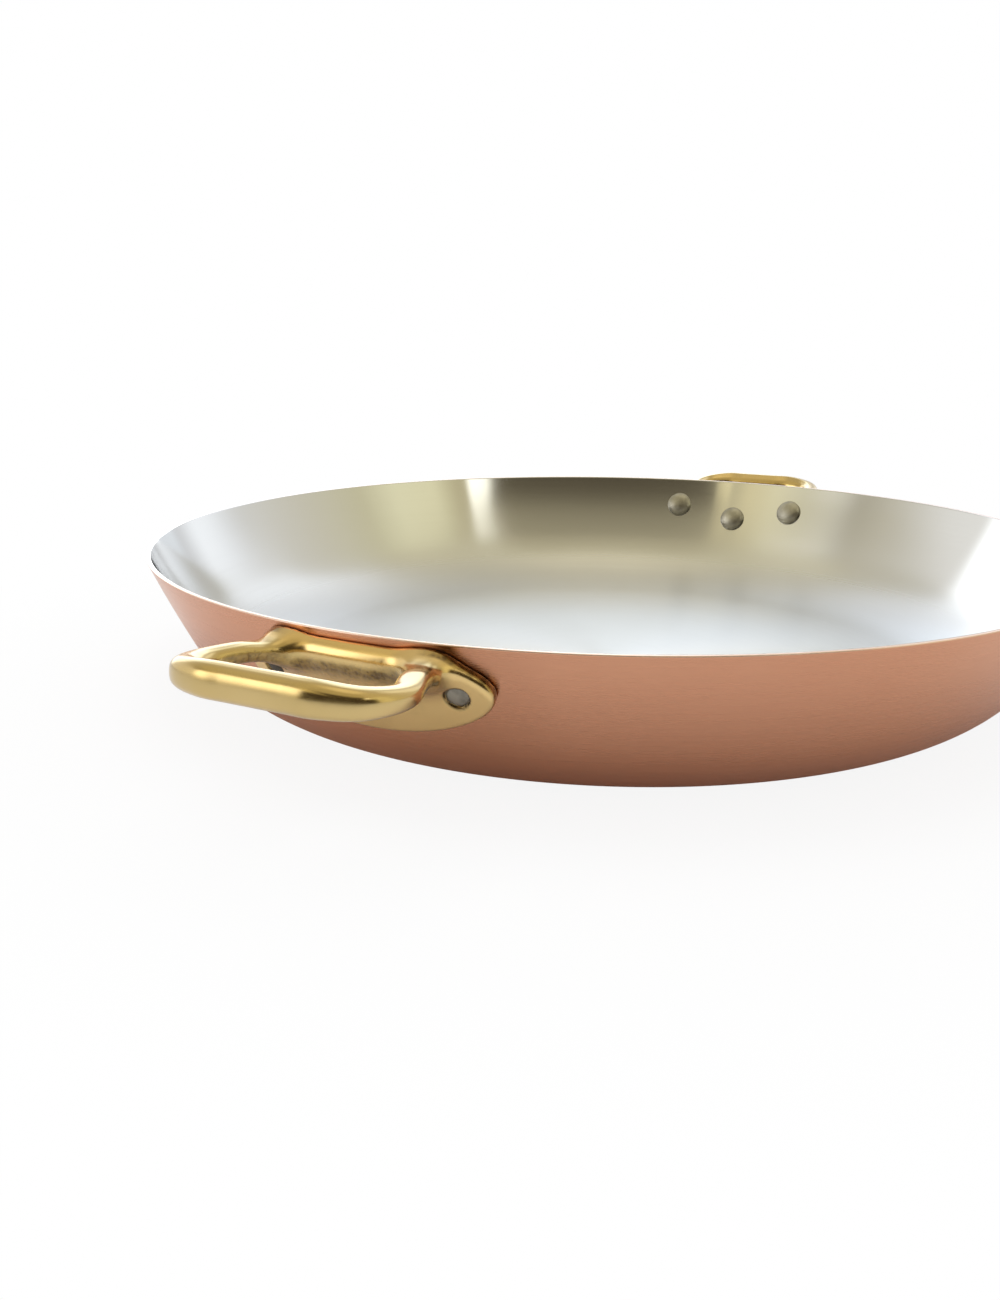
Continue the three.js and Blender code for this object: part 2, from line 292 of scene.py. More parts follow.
def eased_normals(line, reach):
    """Normals to the right of a line (radius, height), averaged over a reach to both sides."""
    steps = np.diff(np.array(line), axis=0)
    places = np.concatenate([[0], np.cumsum(np.linalg.norm(steps, axis=1))])
    headings = np.unwrap(np.arctan2(steps[:, 1], steps[:, 0]))
    middles = (places[1:] + places[:-1]) / 2
    offsets = np.linspace(-reach, reach, EASE_SAMPLES)
    weights = 1 + EASE_FLOOR + np.cos(pi * offsets / reach)
    turn = [np.average(np.interp(place + offsets, middles, headings), weights=weights) for place in places]
    return np.stack([np.sin(turn), -np.cos(turn)], 1)


def revolve_normals(profile, normals, segments):
    """The profile's normals at the points that revolve() makes."""
    turns = np.arange(segments) * (2 * pi / segments)
    spun = []
    for (radius, _), (outward, up) in zip(profile, normals):
        if radius < ON_AXIS:
            spun.append((0.0, 0.0, up))
        else:
            spun.extend((outward * cos(t), outward * sin(t), up) for t in turns)
    return np.array(spun)


def eased_corner(start, end, corner):
    """Points that round a corner, from a place on one of its sides to a place on the other."""
    bulge = (corner - mix(start, end, 0.5)) * EASE_BULGE
    return [tuple(mix(start, end, s) + bulge * s * (1 - s)) for s in np.linspace(0, 1, EASE_POINTS)]


def add_layer(name, outer_inset, inner_inset, outer_round, inner_round, node):
    """A revolved layer of the sheet, with its two rim edges eased."""
    outer_line = sheet_line(outer_inset)
    inner_line = sheet_line(inner_inset)
    outer_rim, inner_rim = np.array(outer_line[-1]), np.array(inner_line[-1])
    across = (inner_rim - outer_rim) / np.linalg.norm(inner_rim - outer_rim)
    outer_low = np.array(rounded_end(outer_line, outer_round)[-1])
    inner_low = np.array(rounded_end(inner_line, inner_round)[-1])
    outer_ease = eased_corner(outer_low, outer_rim + across * outer_round, outer_rim)
    inner_ease = eased_corner(inner_rim - across * inner_round, inner_low, inner_rim)
    outer = rounded_end(outer_line, outer_round + 2 * RIM_EASE)
    inner = rounded_end(inner_line, inner_round + 2 * RIM_EASE)
    profile = outer + outer_ease + inner_ease + inner[::-1]
    normals = eased_normals(profile, RIM_EASE)
    normals[:len(outer)] = eased_normals(outer, CORNER_EASE)
    normals[-len(inner):] = eased_normals(inner[::-1], CORNER_EASE)
    points, faces = revolve(profile, PAN_SEGMENTS)
    return add_piece(name, points, faces, node, revolve_normals(profile, normals, PAN_SEGMENTS))


shell = add_layer("pan_shell", 0, COPPER_THICKNESS, COPPER_OUTER_ROUND, COPPER_INNER_ROUND,
                  "copper_shell")
lining = add_layer("pan_lining", SHEET - LINING_THICKNESS, SHEET, LINING_OUTER_ROUND, LINING_INNER_ROUND,
                   "steel_lining")


# Handle: a field that is negative inside the casting. In the handle's frame, Y points out of the pan.


def bezier(points, count):
    share = np.linspace(0, 1, count)[:, None]
    a, b, c, d = (np.array(p, float) for p in points)
    rest = 1 - share
    return a * rest**3 + 3 * b * rest**2 * share + 3 * c * rest * share**2 + d * share**3


def wall_slope(height):
    """Length along the wall at a height, growing upwards."""
    return WALL_CURVE * (RIM_FLARE - wall_lean(height)) + PAN_HEIGHT


def plate_outline():
    """Closed outline of the plate as points (arc, slope), anticlockwise from the right ear's tip."""
    tip = PLATE_WIDTH / 2
    flat = PLATE_TOP_LENGTH / 2
    top = PAN_HEIGHT - PLATE_DROP
    ear = top - EAR_DROP
    bottom = top - PLATE_HEIGHT
    shoulder = mix(flat, tip, SHOULDER_FULLNESS)
    temple = mix(ear, top, EAR_RISE_FULLNESS)
    cheek = mix(ear, bottom, EAR_FALL_FULLNESS)
    belly = tip * BELLY_FULLNESS
    rise = bezier([(tip, ear), (tip, temple), (shoulder, top), (flat, top)], count=40)
    fall = bezier([(0, bottom), (belly, bottom), (tip, cheek), (tip, ear)], count=60)
    right = np.vstack([fall, rise[1:]])
    left = right[::-1] * (-1, 1)
    outline = np.vstack([right, left[:-1]])
    outline[:, 1] = wall_slope(outline[:, 1])
    return outline


def outline_distance(outline, arc, slope):
    """Distance to a closed outline, negative inside."""
    spots = np.stack([arc.ravel(), slope.ravel()], 1)
    ends = np.roll(outline, -1, 0)
    nearest = np.full(len(spots), np.inf)
    inside = np.zeros(len(spots), bool)
    for start, end in zip(outline, ends):
        edge = end - start
        away = spots - start
        share = np.clip(away @ edge / (edge @ edge), 0, 1)
        nearest = np.minimum(nearest, np.hypot(*(away - share[:, None] * edge).T))
        crosses = (start[1] > spots[:, 1]) != (end[1] > spots[:, 1])
        if abs(edge[1]) > LEVEL:
            at = start[0] + edge[0] * (spots[:, 1] - start[1]) / edge[1]
            inside ^= crosses & (spots[:, 0] < at)
    return np.where(inside, -nearest, nearest).reshape(arc.shape)


class PlateTable:
    """The outline's distance on a flat grid, read between its points."""

    def __init__(self):
        arcs = np.arange(*TABLE_ARCS, TABLE_STEP)
        slopes = np.arange(*TABLE_SLOPES, TABLE_STEP)
        arc, slope = np.meshgrid(arcs, slopes, indexing="ij")
        self.values = outline_distance(plate_outline(), arc, slope)

    def read(self, arc, slope):
        across = (arc - TABLE_ARCS[0]) / TABLE_STEP
        along = (slope - TABLE_SLOPES[0]) / TABLE_STEP
        i = np.clip(np.floor(across).astype(int), 0, self.values.shape[0] - 2)
        j = np.clip(np.floor(along).astype(int), 0, self.values.shape[1] - 2)
        s, t = np.clip(across - i, 0, 1), np.clip(along - j, 0, 1)
        low = mix(self.values[i, j], self.values[i + 1, j], s)
        high = mix(self.values[i, j + 1], self.values[i + 1, j + 1], s)
        return mix(low, high, t)


def wall_point(arc, height, out):
    angle = arc / wall_radius(RIVET_ROW)
    lean = wall_lean(height)
    radius = wall_radius(height) + out * np.cos(lean)
    return np.array([radius * np.sin(angle), radius * np.cos(angle), height - out * np.sin(lean)])


def wall_place(x, y, z):
    """Arc along the wall, height on the wall and distance out from it."""
    across = np.hypot(x, y) - WALL_CENTRE[0]
    below = WALL_CENTRE[1] - z
    reach = np.hypot(across, below)
    height = WALL_CENTRE[1] - WALL_CURVE * below / reach
    arc = np.arctan2(x, y) * wall_radius(RIVET_ROW)
    return arc, height, reach - WALL_CURVE


def catmull_rom(knots, per_span, count):
    """Centripetal spline through the knots, with even steps along it."""
    knots = np.array(knots)
    knots = np.vstack([2 * knots[0] - knots[1], knots, 2 * knots[-1] - knots[-2]])
    gaps = np.sqrt(np.linalg.norm(np.diff(knots, axis=0), axis=1))
    times = np.concatenate([[0], np.cumsum(gaps)])
    line = []
    for i in range(1, len(knots) - 2):
        t = np.linspace(times[i], times[i + 1], per_span, endpoint=False)[:, None]

        def between(a, b, first, second):
            return (first * (times[b] - t) + second * (t - times[a])) / (times[b] - times[a])

        a1 = between(i - 1, i, knots[i - 1], knots[i])
        a2 = between(i, i + 1, knots[i], knots[i + 1])
        a3 = between(i + 1, i + 2, knots[i + 1], knots[i + 2])
        b1 = between(i - 1, i + 1, a1, a2)
        b2 = between(i, i + 2, a2, a3)
        line.append(between(i, i + 1, b1, b2))
    line = np.vstack(line + [knots[-2][None]])
    length = np.concatenate([[0], np.cumsum(np.linalg.norm(np.diff(line, axis=0), axis=1))])
    even = np.linspace(0, length[-1], count)
    return even, np.stack([np.interp(even, length, line[:, axis]) for axis in range(3)], 1)


class LoopPath:
    """Centre line and section of the loop, from one root through the front bar to the other."""

    def __init__(self):
        root = ROOT_SPACING / 2
        arm_height = PAN_HEIGHT - ARM_DROP
        bar_height = PAN_HEIGHT - BAR_DROP
        side = LOOP_WIDTH / 2
        front = RIM_RADIUS + LOOP_REACH
        cut = LOOP_CORNER * (1 - 0.5**0.5)
        straight = side - LOOP_CORNER
        half = [
            wall_point(root, PAN_HEIGHT - ROOT_DROP, ROOT_DEPTH),
            wall_point(root, PAN_HEIGHT - ROOT_DROP, PLATE_THICKNESS + FIT),
            (mix(root, side, ARM_BOW), RIM_RADIUS + (LOOP_REACH - LOOP_CORNER) / 2, arm_height),
            (side, front - LOOP_CORNER, arm_height),
            (side - cut, front - cut, (arm_height + bar_height) / 2),
            (straight, front, bar_height),
            (straight / 2, front, bar_height),
        ]
        mirrored = [(-p[0], p[1], p[2]) for p in half]
        knots = mirrored + [(0, front, bar_height)] + half[::-1]
        self.along, self.line = catmull_rom(knots, per_span=60, count=320)
        tangents = np.gradient(self.line[:, :2], self.along, axis=0)
        self.tangent = tangents / np.linalg.norm(tangents, axis=1)[:, None]
        from_middle = np.abs(self.along - self.along[-1] / 2)
        half_full = BAR_FULL_LENGTH / 2
        bar = 1 - smoothstep(from_middle, half_full, half_full + BAR_TAPER)
        self.half_width = mix(ARM_WIDTH, BAR_DEPTH, bar) / 2
        self.half_height = mix(ARM_HEIGHT, BAR_HEIGHT, bar) / 2
        self.bar_share = bar

    def nearest(self, x, y):
        """Length along the line to the nearest point, distance beside it, and the share of that inward."""
        flat = np.stack(np.broadcast_arrays(x, y), -1).reshape(-1, 2)
        found = np.empty(len(flat), int)
        for start in range(0, len(flat), SPOTS_AT_ONCE):
            part = flat[start:start + SPOTS_AT_ONCE]
            gaps = part[:, None, :] - self.line[None, :, :2]
            found[start:start + SPOTS_AT_ONCE] = np.argmin((gaps**2).sum(-1), 1)
        away = flat - self.line[found, :2]
        ahead = (away * self.tangent[found]).sum(1)
        step = self.along[1] - self.along[0]
        kept = np.clip(ahead, -step, step)
        place = np.clip(self.along[found] + kept, 0, self.along[-1])
        cross = away[:, 0] * self.tangent[found, 1] - away[:, 1] * self.tangent[found, 0]
        beside = np.hypot(cross, ahead - kept)
        shape = np.broadcast_shapes(x.shape, y.shape)
        return place.reshape(shape), beside.reshape(shape), cross.reshape(shape)

    def distance(self, x, y, z):
        place, beside, inward = self.nearest(x, y)
        half_width = np.interp(place, self.along, self.half_width)
        half_height = np.interp(place, self.along, self.half_height)
        above = z - np.interp(place, self.along, self.line[:, 2])
        power = ARM_SQUARENESS
        across, up = beside / half_width, np.abs(above) / half_height
        reach = (across**power + up**power)**(1 / power)
        slope = np.hypot(across**(power - 1) / half_width, up**(power - 1) / half_height)
        inner = -np.minimum(half_width, half_height)
        steepness = np.maximum(slope, TINY)
        arm = np.where(reach < SECTION_CORE, inner, (reach - 1) * reach**(power - 1) / steepness)
        front = beside - half_width + (above + BAR_WIDEST_DROP)**2 / (2 * BAR_FRONT_RADIUS)
        top = np.abs(above) - half_height + beside**2 / (2 * BAR_TOP_RADIUS)
        edge_round = mix(BAR_EDGE_ROUND, BAR_INNER_ROUND, smoothstep(inward, 0.0, BAR_ROUND_CHANGE))
        bar = rounded_both(front, top, edge_round)
        return mix(arm, bar, np.interp(place, self.along, self.bar_share))


def rounded_both(first, second, radius):
    """Both fields together, with the corner between them rounded."""
    a, b = np.maximum(first + radius, 0), np.maximum(second + radius, 0)
    return np.minimum(np.maximum(first, second), -radius) + np.hypot(a, b)


def blended_either(first, second, radius):
    """Either field, with a fillet where they meet."""
    share = np.maximum(radius - np.abs(first - second), 0) / radius
    return np.minimum(first, second) - share * share * radius / 4


plate_table = PlateTable()
loop_path = LoopPath()
upper_rivet_arc = PLATE_WIDTH / 2 - RIVET_EDGE
RIVET_SPOTS = [
    (upper_rivet_arc, RIVET_ROW),
    (-upper_rivet_arc, RIVET_ROW),
    (0.0, PAN_HEIGHT - LOWER_RIVET_DROP),
]


def plate_distance(x, y, z):
    arc, height, out = wall_place(x, y, z)
    arc = np.broadcast_to(arc, height.shape)
    edge = plate_table.read(arc, wall_slope(height))
    from_top = PAN_HEIGHT - PLATE_DROP - height
    along = 1 - smoothstep(np.abs(arc), LIP_LENGTH / 2, LIP_LENGTH / 2 + LIP_FADE)
    down = 1 - smoothstep(from_top, LIP_HEIGHT, LIP_HEIGHT + LIP_COVE)
    face = out - mix(PLATE_THICKNESS, LIP_THICKNESS, along * down)
    top_round = mix(TOP_EDGE_ROUND, LIP_ROUND, along)
    edge_round = mix(top_round, LOWER_EDGE_ROUND, smoothstep(from_top, *EDGE_CHANGE))
    return np.maximum(rounded_both(edge, face, edge_round), FIT - out)


def recess_distance(x, y, z):
    """The shallow pockets around the rivet tails."""
    arc, height, out = wall_place(x, y, z)
    floor = PLATE_THICKNESS - RECESS_DEPTH - out
    pockets = np.full(np.broadcast_shapes(arc.shape, height.shape), np.inf)
    for rivet_arc, rivet_height in RIVET_SPOTS:
        aside = np.hypot(arc - rivet_arc, wall_slope(height) - wall_slope(rivet_height))
        pockets = np.minimum(pockets, np.maximum(aside - TAIL_RADIUS - RECESS_GAP, floor))
    return pockets


def handle_distance(x, y, z):
    plate = plate_distance(x, y, z)
    casting = blended_either(plate, loop_path.distance(x, y, z), ROOT_FILLET)
    casting = np.maximum(casting, FIT - wall_place(x, y, z)[2])
    return np.maximum(casting, -recess_distance(x, y, z))


def surface_net(field, low, step):
    """Points and quads of the field's zero surface, one point in each cell that it passes through."""
    inside = field < 0
    cells = tuple(n - 1 for n in field.shape)
    total = np.zeros(cells + (3,))
    crossings = np.zeros(cells)
    corner = np.stack(np.meshgrid(*(np.arange(n) for n in cells), indexing="ij"), -1)
    for axis in range(3):
        others = [a for a in range(3) if a != axis]
        for first in (0, 1):
            for second in (0, 1):
                offset = np.zeros(3, int)
                offset[others[0]], offset[others[1]] = first, second
                ahead = offset.copy()
                ahead[axis] = 1
                near = tuple(slice(o, o + n) for o, n in zip(offset, cells))
                far = tuple(slice(o, o + n) for o, n in zip(ahead, cells))
                cut = inside[near] != inside[far]
                share = field[near][cut] / (field[near][cut] - field[far][cut])
                spot = (corner[cut] + offset).astype(float)
                spot[:, axis] += share
                total[cut] += spot
                crossings[cut] += 1
    used = crossings > 0
    index = np.full(cells, -1)
    index[used] = np.arange(used.sum())
    points = low + step * total[used] / crossings[used][:, None]
    quads = []
    for axis in range(3):
        b, c = (axis + 1) % 3, (axis + 2) % 3
        here = [slice(1, -1)] * 3
        here[axis] = slice(0, cells[axis])
        there = list(here)
        there[axis] = slice(1, cells[axis] + 1)
        low_in, high_in = inside[tuple(here)], inside[tuple(there)]
        cut = np.argwhere(low_in != high_in)
        leaving = low_in[tuple(cut.T)]
        cut = cut + np.array([0 if a == axis else 1 for a in range(3)])
        corners = []
        for db, dc in ((-1, -1), (0, -1), (0, 0), (-1, 0)):
            cell = cut.copy()
            cell[:, b] += db
            cell[:, c] += dc
            corners.append(index[tuple(cell.T)])
        found = np.stack(corners, 1)
        found[~leaving] = found[~leaving][:, ::-1]
        quads.append(found)
    return points, np.vstack(quads)


def field_slope(field, points, low, step):
    """Direction in which the field grows at each point, read between the grid's points."""
    place = (points - low) / step
    first = np.clip(np.floor(place).astype(int), 0, np.array(field.shape) - 2)
    share = place - first
    slopes = [np.gradient(field, step, axis=axis) for axis in range(3)]
    total = np.zeros((len(points), 3))
    for corner in np.ndindex(2, 2, 2):
        weight = np.prod(np.where(corner, share, 1 - share), axis=1)
        spot = tuple((first + corner).T)
        total += weight[:, None] * np.stack([slope[spot] for slope in slopes], 1)
    return total / np.maximum(np.linalg.norm(total, axis=1), TINY)[:, None]


def build_handle():
    """Points, faces and normals of one handle in its own frame."""
    side = PLATE_WIDTH / 2 + GRID_SIDE
    front = RIM_RADIUS + LOOP_REACH + BAR_DEPTH / 2 + GRID_AHEAD
    low = np.array([-side, GRID_START, PAN_HEIGHT - PLATE_DROP - PLATE_HEIGHT - GRID_BELOW])
    high = np.array([side, front, PAN_HEIGHT + GRID_ABOVE])
    counts = np.ceil((high - low) / HANDLE_STEP).astype(int)
    x, y, z = (low[a] + HANDLE_STEP * np.arange(counts[a]) for a in range(3))
    field = handle_distance(x[:, None, None], y[None, :, None], z[None, None, :])
    points, quads = surface_net(field, low, HANDLE_STEP)
    return points, quads, field_slope(field, points, low, HANDLE_STEP)


def turned(points, angle):
    c, s = cos(angle), sin(angle)
    return points @ np.array([[c, s, 0], [-s, c, 0], [0, 0, 1]])


handle_points, handle_quads, handle_normals = build_handle()


def rough_behind_loop(arc, from_top, out):
    """Unpolished share of the plate behind the loop, most just below the lip."""
    across = 1 - smoothstep(np.abs(arc), *HOLLOW_SIDES)
    down = smoothstep(from_top, *HOLLOW_TOP) * (1 - HOLLOW_LOSS * smoothstep(from_top, *HOLLOW_MIDDLE))
    down *= 1 - smoothstep(from_top, *HOLLOW_FOOT)
    return across * down * (1 - smoothstep(out, *HOLLOW_FRONT))


def rough_shaded_arm_sides(points, out):
    """Rough share of the arms' inner sides near their roots: unpolished casting, with painted shade there
    too.
    """
    place, _, _ = loop_path.nearest(points[:, 0], points[:, 1])
    from_middle = np.abs(place - loop_path.along[-1] / 2)
    middle_x, middle_z = (np.interp(place, loop_path.along, loop_path.line[:, axis]) for axis in (0, 2))
    inward = (np.abs(middle_x) - np.abs(points[:, 0])) / (ARM_WIDTH / 2)
    above = (points[:, 2] - middle_z) / (ARM_HEIGHT / 2)
    arm = ROUGH_SHADED_ARM * smoothstep(from_middle, *ROUGH_ARM_ALONG) * smoothstep(out, *ROUGH_ARM_OUT)
    return arm * smoothstep(inward, *ROUGH_ARM_INWARD) * (1 - smoothstep(above, *ROUGH_ARM_ABOVE))


def grime_patch(arc, from_top):
    """A dirty patch under the lip, near one arm."""
    beside = (arc - GRIME_ARC) / GRIME_LENGTH
    below = (from_top - GRIME_DROP) / GRIME_HEIGHT
    return np.exp(-beside**2 - below**2) * smoothstep(from_top, *GRIME_TOP)


def casting_masks(points):
    """Shares from 0 to 1: rough places, with painted shade on the arms' inner sides; dirt, and painted
    shade in the rivet recesses; painted shade at the wall and in the recesses; the plate's face, painted
    lighter.
    """
    arc, height, out = wall_place(*points.T)
    from_top = PAN_HEIGHT - PLATE_DROP - height
    patch = grime_patch(arc, from_top)
    # The hollow's patina, and the arms' inner sides, rough and with painted shade
    hollow = np.maximum(rough_behind_loop(arc, from_top, out), rough_shaded_arm_sides(points, out))
    hollow = np.maximum(hollow, GRIME_ROUGHNESS * patch)
    # Painted shade along the plate's edge where it meets the wall
    edge = (1 - smoothstep(out, *EDGE_SHADE_OUT)) * smoothstep(np.abs(arc), *EDGE_SHADE_SIDES)
    # Painted shade in the recesses round the rivet tails, where the recess's upper edge shades the tail
    aside = [np.hypot(arc - spot_arc, height - spot_height) for spot_arc, spot_height in RIVET_SPOTS]
    recess = 1 - smoothstep(np.min(aside, 0), *RECESS_SHADE)
    return {
        "hollow": hollow,
        # Dirt under the lip and in the hollow, and painted shade in the rivet recesses
        "grime_and_shade": np.maximum(np.maximum(patch, HOLLOW_GRIME * hollow), recess),
        "edge_and_recess_shade": np.maximum(edge, recess),
        # The plate's face, painted lighter
        "plate": 1 - smoothstep(out, *LIT_PLATE_FACE),
    }


handles = []
masks = casting_masks(handle_points)
for side, turn in HANDLE_TURNS.items():
    piece = add_piece(
        f"loop_handle_{side}",
        turned(handle_points, turn),
        handle_quads.tolist(),
        f"handle_{side}",
        turned(handle_normals, turn),
    )
    for name, shares in masks.items():
        layer = piece.data.attributes.new(name, "FLOAT", "POINT")
        layer.data.foreach_set("value", shares.astype(np.float32))
    handles.append(piece)


# Rivets


def rivet_profile():
    """Radius and distance out along the wall's normal, from the head's top to the tail's top."""
    seat = -SHEET - HEAD_GAP
    dome = HEAD_HEIGHT - HEAD_EDGE
    recess = PLATE_THICKNESS - RECESS_DEPTH
    profile = []
    for step in range(HEAD_STEPS + 1):
        turn = pi / 2 * step / HEAD_STEPS
        profile.append((HEAD_RADIUS * sin(turn), seat - HEAD_EDGE - dome * cos(turn)))
    profile.append((HEAD_RADIUS - HEAD_UNDERCUT, seat))
    profile.append((SHANK_RADIUS, seat))
    profile.append((SHANK_RADIUS, recess - TAIL_SHOULDER))
    profile.append((TAIL_RADIUS, recess + TAIL_SHOULDER))
    for step in range(TAIL_STEPS, -1, -1):
        share = step / TAIL_STEPS
        drop = TAIL_CROWN * share**2 + TAIL_ROUND * smoothstep(share, TAIL_ROUND_START, 1.0)
        profile.append((TAIL_RADIUS * share, PLATE_THICKNESS - drop))
    return profile


def rivet_place(arc, turn):
    if arc == 0:
        return "lower"
    return "back" if arc * turn > 0 else "front"


rivets = []
rivet_points, rivet_faces = revolve(rivet_profile(), RIVET_SEGMENTS)
for side, turn in HANDLE_TURNS.items():
    for arc, height in RIVET_SPOTS:
        origin = wall_point(arc, height, 0)
        normal = Vector(wall_point(arc, height, 1) - origin)
        spin = np.array(normal.to_track_quat("Z", "Y").to_matrix())
        points = turned(rivet_points @ spin.T + origin, turn)
        place = rivet_place(arc, turn)
        piece = add_piece(f"rivet_piece_{side}_{place}", points, rivet_faces,
                          f"rivet_{side}_{place}")
        tail = piece.data.attributes.new("tail", "FLOAT", "POINT")
        # The back tails get painted shade
        shade_mark = SHADED_TAIL if place == "back" else PLAIN_TAIL
        tail.data.foreach_set("value", shade_mark * (rivet_points[:, 2] > 0).astype(np.float32))
        rivets.append(piece)


# Materials

# The mix node's sockets for colours
MIX_SHARE, MIX_FIRST, MIX_SECOND, MIX_RESULT = 0, 6, 7, 2


def add_node(tree, kind, inputs=None, **settings):
    """A shader node with its settings. An input given as a socket is linked, others are set."""
    made = tree.nodes.new(kind)
    for key, value in settings.items():
        setattr(made, key, value)
    for key, value in (inputs or {}).items():
        socket = made.inputs[key]
        if isinstance(value, bpy.types.NodeSocket):
            tree.links.new(value, socket)
        else:
            socket.default_value = value
    return made


def calc(tree, operation, first, second=0.0, third=0.0):
    inputs = {0: first, 1: second, 2: third}
    return add_node(tree, "ShaderNodeMath", inputs, operation=operation).outputs[0]


def product(tree, first, second):
    return calc(tree, "MULTIPLY", first, second)


def remap(tree, value, ends, results=(0.0, 1.0)):
    """The value carried smoothly from one range to another, and held at its ends."""
    inputs = {"Value": value, "From Min": ends[0], "From Max": ends[1]}
    inputs.update({"To Min": results[0], "To Max": results[1]})
    return add_node(tree, "ShaderNodeMapRange", inputs, interpolation_type="SMOOTHSTEP").outputs[0]


def blend(tree, share, first, second):
    """Mix of two colours."""
    inputs = {MIX_SHARE: share, MIX_FIRST: first, MIX_SECOND: second}
    return add_node(tree, "ShaderNodeMix", inputs, data_type="RGBA").outputs[MIX_RESULT]


def new_material(name):
    material = bpy.data.materials.new(name)
    material.use_nodes = True
    return material, material.node_tree, material.node_tree.nodes["Principled BSDF"]


def noise(tree, vector, scale, detail=3.0, roughness=0.5):
    inputs = {"Vector": vector, "Scale": scale, "Detail": detail, "Roughness": roughness}
    return add_node(tree, "ShaderNodeTexNoise", inputs).outputs["Fac"]


def object_place(tree):
    return add_node(tree, "ShaderNodeTexCoord").outputs["Object"]


def vector_length(tree, vector):
    return add_node(tree, "ShaderNodeVectorMath", {0: vector}, operation="LENGTH").outputs["Value"]


def place_parts(tree):
    """The place on the object, its distance from the Z axis, and its x, y and z."""
    place = object_place(tree)
    x, y, z = add_node(tree, "ShaderNodeSeparateXYZ", {0: place}).outputs
    flat = add_node(tree, "ShaderNodeCombineXYZ", {0: x, 1: y}).outputs[0]
    return place, vector_length(tree, flat), x, y, z


def point_share(tree, name):
    """A share that the mesh keeps at its points."""
    return add_node(tree, "ShaderNodeAttribute", attribute_name=name).outputs["Fac"]


def finish_metal(tree, shader, colour, roughness, height, strength, depth):
    """Join a metal's colour, roughness and fine relief to its shader."""
    bump = add_node(tree, "ShaderNodeBump", {"Strength": strength, "Distance": depth, "Height": height})
    tree.links.new(colour, shader.inputs["Base Color"])
    tree.links.new(roughness, shader.inputs["Roughness"])
    tree.links.new(bump.outputs[0], shader.inputs["Normal"])
    shader.inputs["Metallic"].default_value = 1.0


# Brushed metals, in metres. A grain has its noise scale round the axis and across the lines.
FINE_GRAIN = (9.0, 4200.0)
BROAD_GRAIN = (3.0, 700.0)
FINE_SHARE = 0.7
CLOUD_SCALE = 14.0
CLOUD_SHARE = 0.25
CLOUD_WEAR = 0.4
# Heights of the rim's top edge, which is painted paler as a highlight
RIM_HIGHLIGHT_BAND = ((PAN_HEIGHT - 0.35) * MM, (PAN_HEIGHT - 0.15) * MM)
FINISH_CHANGE = (0.140, 0.172)
GRAIN_DEPTH = 0.00004
ROUND_THE_AXIS = 0.25


def ring_grain(tree, place, length, along, across):
    """Streaks that run round the Z axis: a noise that changes slowly round it and fast across."""
    slow = add_node(tree, "ShaderNodeVectorMath", {0: place, 1: (along, along, 0)}, operation="MULTIPLY")
    fast = add_node(tree, "ShaderNodeCombineXYZ", {2: product(tree, length, across)}).outputs[0]
    both = add_node(tree, "ShaderNodeVectorMath", {0: slow.outputs[0], 1: fast}, operation="ADD")
    return noise(tree, both.outputs[0], scale=1.0, detail=2.0, roughness=0.6)


def brushed_metal(name, colour, dark, rim, floor_rough, wall_rough, anisotropy, streak_share, relief):
    """Metal brushed round the Z axis, with fine lines, streaks, faint clouding and a rim colour, on the
    copper a painted highlight.
    """
    material, tree, shader = new_material(name)
    place, radius, _, _, height = place_parts(tree)
    length = calc(tree, "ADD", radius, height)
    fine = ring_grain(tree, place, length, *FINE_GRAIN)
    broad = ring_grain(tree, place, length, *BROAD_GRAIN)
    cloud = noise(tree, place, CLOUD_SCALE, detail=4.0)
    streaks = calc(tree, "MULTIPLY_ADD", fine, FINE_SHARE, product(tree, broad, 1 - FINE_SHARE))
    base = blend(tree, remap(tree, streaks, (0.3, 0.7), (0.0, streak_share)), colour, dark)
    base = blend(tree, remap(tree, cloud, (0.35, 0.7), (0.0, CLOUD_SHARE)), base, dark)
    # The rim's top edge in the rim colour: on the copper a painted highlight
    base = blend(tree, remap(tree, height, RIM_HIGHLIGHT_BAND), base, rim)
    finish = remap(tree, radius, FINISH_CHANGE, (floor_rough, wall_rough))
    wear = calc(tree, "MULTIPLY_ADD", cloud, CLOUD_WEAR, streaks)
    rough = product(tree, finish, remap(tree, wear, (0.4, 1.0), (0.93, 1.1)))
    finish_metal(tree, shader, base, rough, streaks, relief, GRAIN_DEPTH)
    tangent = add_node(tree, "ShaderNodeTangent", direction_type="RADIAL", axis="Z")
    tree.links.new(tangent.outputs[0], shader.inputs["Tangent"])
    shader.inputs["Anisotropic"].default_value = anisotropy
    shader.inputs["Anisotropic Rotation"].default_value = ROUND_THE_AXIS
    return material


copper = brushed_metal(
    "brushed_copper",
    colour=(0.72, 0.37, 0.23, 1),
    dark=(0.62, 0.29, 0.17, 1),
    # The rim's paler copper is a painted highlight
    rim=(0.93, 0.72, 0.62, 1),
    floor_rough=0.3,
    wall_rough=0.26,
    anisotropy=0.88,
    streak_share=0.12,
    relief=0.035,
)
steel = brushed_metal(
    "satin_steel",
    colour=(0.745, 0.75, 0.755, 1),
    dark=(0.69, 0.69, 0.69, 1),
    rim=(0.72, 0.72, 0.72, 1),
    floor_rough=0.36,
    wall_rough=0.1,
    anisotropy=0.9,
    streak_share=0.2,
    relief=0.03,
)


# Brass of the handles
BRASS = (0.665, 0.49, 0.205, 1)
DEEP_BRASS = (0.605, 0.44, 0.17, 1)
# Paler brass for the plate's face: painted light, brighter than the loop's brass
LIT_PLATE_BRASS = (0.79, 0.565, 0.235, 1)
